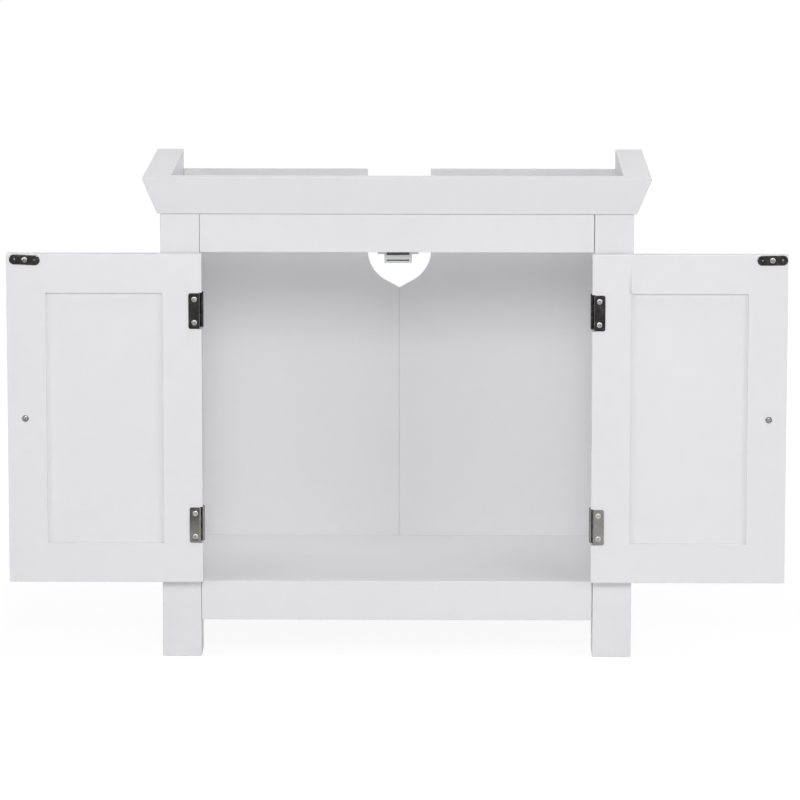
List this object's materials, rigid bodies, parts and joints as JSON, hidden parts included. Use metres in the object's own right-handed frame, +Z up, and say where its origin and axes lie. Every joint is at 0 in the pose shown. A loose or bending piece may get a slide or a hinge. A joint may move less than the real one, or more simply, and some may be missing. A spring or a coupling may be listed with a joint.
{
  "type": "sink base cabinet",
  "caption": "Free-standing white sink base cabinet with two framed doors on wrap hinges, an open top inside a flared crown, and a notched back for the drain pipe.",
  "frame": {"origin": "on the floor, midway across the width over both open doors and midway between the crown's front and the back panels", "axes": "+X to the right of someone facing the doors, +Y from the doors towards the wall, +Z up"},
  "size_m": [0.958, 0.33, 0.6],
  "materials": {
    "white_paint": "satin white paint",
    "white_board": "white-faced board",
    "dark_nickel": "polished",
    "bright_steel": "satin",
    "satin_nickel": "satin",
    "pale_plastic": "matte",
    "ferrite": "matte"
  },
  "bodies": {
    "carcass": {"front_post_left": "white_paint", "front_post_right": "white_paint", "rear_post_left": "white_paint", "rear_post_right": "white_paint", "side_panel_left": "white_paint", "side_panel_right": "white_paint", "floor_cleat_left": "white_paint", "floor_cleat_right": "white_paint", "top_front_rail": "white_paint", "bottom_front_rail": "white_paint", "rear_bottom_rail": "white_paint", "crown_front": "white_paint", "crown_left": "white_paint", "crown_right": "white_paint", "floor_board": "white_board", "back_panel_left": "white_board", "back_panel_right": "white_board", "catch_housing": "pale_plastic", "catch_pole_lower": "dark_nickel", "catch_pole_upper": "dark_nickel", "catch_magnet": "ferrite", "hinge_left_upper_frame_leaf": "dark_nickel", "hinge_left_upper_pin": "dark_nickel", "hinge_left_lower_frame_leaf": "dark_nickel", "hinge_left_lower_pin": "dark_nickel", "hinge_right_upper_frame_leaf": "dark_nickel", "hinge_right_upper_pin": "dark_nickel", "hinge_right_lower_frame_leaf": "dark_nickel", "hinge_right_lower_pin": "dark_nickel"},
    "door_left": {"door_left_free_stile": "white_paint", "door_left_hinge_stile": "white_paint", "door_left_top_rail": "white_paint", "door_left_bottom_rail": "white_paint", "door_left_panel": "white_paint", "strike_plate_left": "dark_nickel", "strike_screw_left": "bright_steel", "knob_left": "satin_nickel", "knob_screw_left": "bright_steel", "hinge_left_upper_door_leaf": "dark_nickel", "hinge_left_upper_screw_high": "bright_steel", "hinge_left_upper_screw_low": "bright_steel", "hinge_left_lower_door_leaf": "dark_nickel", "hinge_left_lower_screw_high": "bright_steel", "hinge_left_lower_screw_low": "bright_steel"},
    "door_right": {"door_right_free_stile": "white_paint", "door_right_hinge_stile": "white_paint", "door_right_top_rail": "white_paint", "door_right_bottom_rail": "white_paint", "door_right_panel": "white_paint", "strike_plate_right": "dark_nickel", "strike_screw_right": "bright_steel", "knob_right": "satin_nickel", "knob_screw_right": "bright_steel", "hinge_right_upper_door_leaf": "dark_nickel", "hinge_right_upper_screw_high": "bright_steel", "hinge_right_upper_screw_low": "bright_steel", "hinge_right_lower_door_leaf": "dark_nickel", "hinge_right_lower_screw_high": "bright_steel", "hinge_right_lower_screw_low": "bright_steel"}
  },
  "joints": [
    {"name": "door_left_hinge", "type": "hinge", "parent": "carcass", "child": "door_left", "pos_m": [-0.24, -0.145, 0.302], "axis": [0, 0, 1], "range_deg": [0, 180]},
    {"name": "door_right_hinge", "type": "hinge", "parent": "carcass", "child": "door_right", "pos_m": [0.24, -0.145, 0.302], "axis": [0, 0, -1], "range_deg": [0, 180]}
  ]
}
